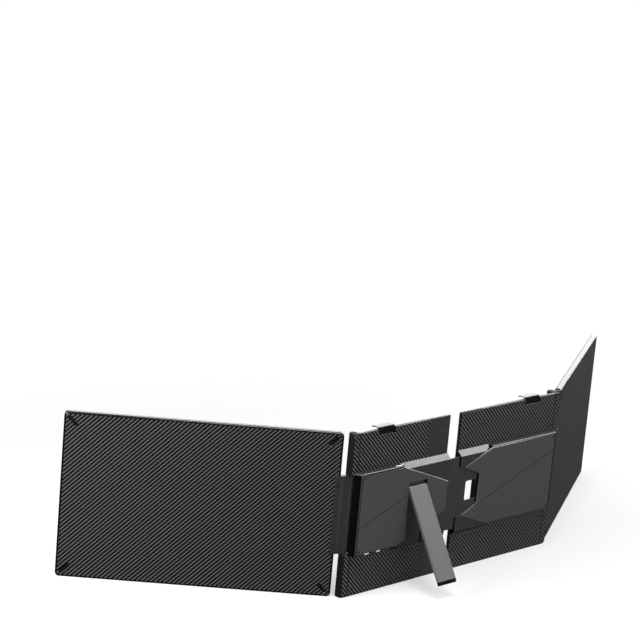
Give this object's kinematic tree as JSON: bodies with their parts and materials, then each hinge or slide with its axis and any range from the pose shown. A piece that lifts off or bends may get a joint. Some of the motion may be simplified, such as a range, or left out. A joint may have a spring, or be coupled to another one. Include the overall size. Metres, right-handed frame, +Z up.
{
  "type": "laptop screen extender",
  "caption": "Folding laptop screen extender: a sliding centre frame with lid clips and a kickstand carries a hinged flat display on each side.",
  "frame": {"origin": "middle of the fixed half's standing edge", "axes": "+Z up, -Y towards the viewer of the screens, +X along the centre frame towards the half that carries the kickstand"},
  "size_m": [0.9014, 0.3131, 0.2044],
  "materials": {
    "textured_shell": "moulded shell with a fine diagonal weave print",
    "dark_moulding": "fine matt black moulding",
    "cover_moulding": "satin dark grey moulding",
    "coated_metal": "matt black powder coat on steel",
    "coated_aluminium": "grey anodised aluminium bar",
    "bright_metal": "bright plated cap",
    "plain_steel": "plain steel",
    "pressed_aluminium": "pressed sheet",
    "rubber": "soft black rubber",
    "glide_plastic": "low friction acetal",
    "circuit_board": "solder masked laminate with its chips",
    "display_glass": "anti-glare display panel, dark when off"
  },
  "bodies": {
    "fixed_half": {"fixed_back_sheet": "textured_shell", "fixed_column_caps": "textured_shell", "fixed_front_tray": "dark_moulding", "fixed_column_upper": "dark_moulding", "fixed_column_lower": "dark_moulding", "fixed_side_tabs": "dark_moulding", "fixed_tab_pads": "rubber", "fixed_lid_pads": "rubber", "fixed_hinge_pins": "plain_steel", "fixed_cover_screws": "plain_steel", "slide_cover": "cover_moulding", "fixed_hub_base": "dark_moulding", "fixed_hub_cover": "cover_moulding", "slide_plate": "coated_metal", "main_board": "circuit_board", "usb_ports": "plain_steel", "stand_pin": "plain_steel", "stand_bracket": "plain_steel"},
    "sliding_half": {"sliding_back_sheet": "textured_shell", "sliding_column_caps": "textured_shell", "sliding_front_tray": "dark_moulding", "sliding_column_upper": "dark_moulding", "sliding_column_lower": "dark_moulding", "sliding_side_tabs": "dark_moulding", "sliding_tab_pads": "rubber", "sliding_lid_pads": "rubber", "sliding_hinge_pins": "plain_steel", "sliding_cover_screws": "plain_steel", "sliding_hub_base": "dark_moulding", "sliding_hub_cover": "cover_moulding", "rail_glides": "glide_plastic", "link_board": "circuit_board"},
    "fixed_screen": {"fixed_screen_back": "textured_shell", "fixed_screen_bezel": "dark_moulding", "fixed_screen_panel": "display_glass", "fixed_screen_chassis": "pressed_aluminium", "fixed_screen_board": "circuit_board", "fixed_screen_corner_bars": "rubber", "fixed_hinge_leaf": "coated_metal", "fixed_hinge_sleeves": "plain_steel", "fixed_leaf_screws": "plain_steel"},
    "sliding_screen": {"sliding_screen_back": "textured_shell", "sliding_screen_bezel": "dark_moulding", "sliding_screen_panel": "display_glass", "sliding_screen_chassis": "pressed_aluminium", "sliding_screen_board": "circuit_board", "sliding_screen_corner_bars": "rubber", "sliding_hinge_leaf": "coated_metal", "sliding_hinge_sleeves": "plain_steel", "sliding_leaf_screws": "plain_steel"},
    "kickstand": {"kickstand": "coated_aluminium", "kickstand_shoe": "rubber"},
    "fixed_clip": {"fixed_top_clip": "coated_metal", "fixed_clip_pad": "rubber"},
    "sliding_clip": {"sliding_top_clip": "coated_metal", "sliding_clip_pad": "rubber"},
    "menu_button": {"menu_button": "bright_metal"}
  },
  "joints": [
    {"name": "fixed_screen_hinge", "type": "hinge", "parent": "fixed_half", "child": "fixed_screen", "pos_m": [0.07825, -0.00475, 0.101], "axis": [0, 0, -1], "range_deg": [-89.3, 135.7]},
    {"name": "sliding_screen_hinge", "type": "hinge", "parent": "sliding_half", "child": "sliding_screen", "pos_m": [-0.28615, -0.0097, 0.101], "axis": [0, 0, 1], "range_deg": [-55.6, 149.4]},
    {"name": "frame_slide", "type": "slide", "parent": "fixed_half", "child": "sliding_half", "axis": [-1, 0, 0], "range_m": [-0.0186, 0.03]},
    {"name": "kickstand_hinge", "type": "hinge", "parent": "fixed_half", "child": "kickstand", "pos_m": [-0.02655, 0.00905, 0.1228], "axis": [1, 0, 0], "range_deg": [-31.2, 58.8]},
    {"name": "fixed_clip_slide", "type": "slide", "parent": "fixed_half", "child": "fixed_clip", "axis": [0, 0, 1], "range_m": [0, 0.006]},
    {"name": "sliding_clip_slide", "type": "slide", "parent": "sliding_half", "child": "sliding_clip", "axis": [0, 0, 1], "range_m": [0, 0.006]},
    {"name": "menu_button_press", "type": "slide", "parent": "fixed_half", "child": "menu_button", "axis": [0, 0, -1], "range_m": [0, 0.0006], "stiffness_N_per_m": 500, "springref_m": -0.0008}
  ]
}
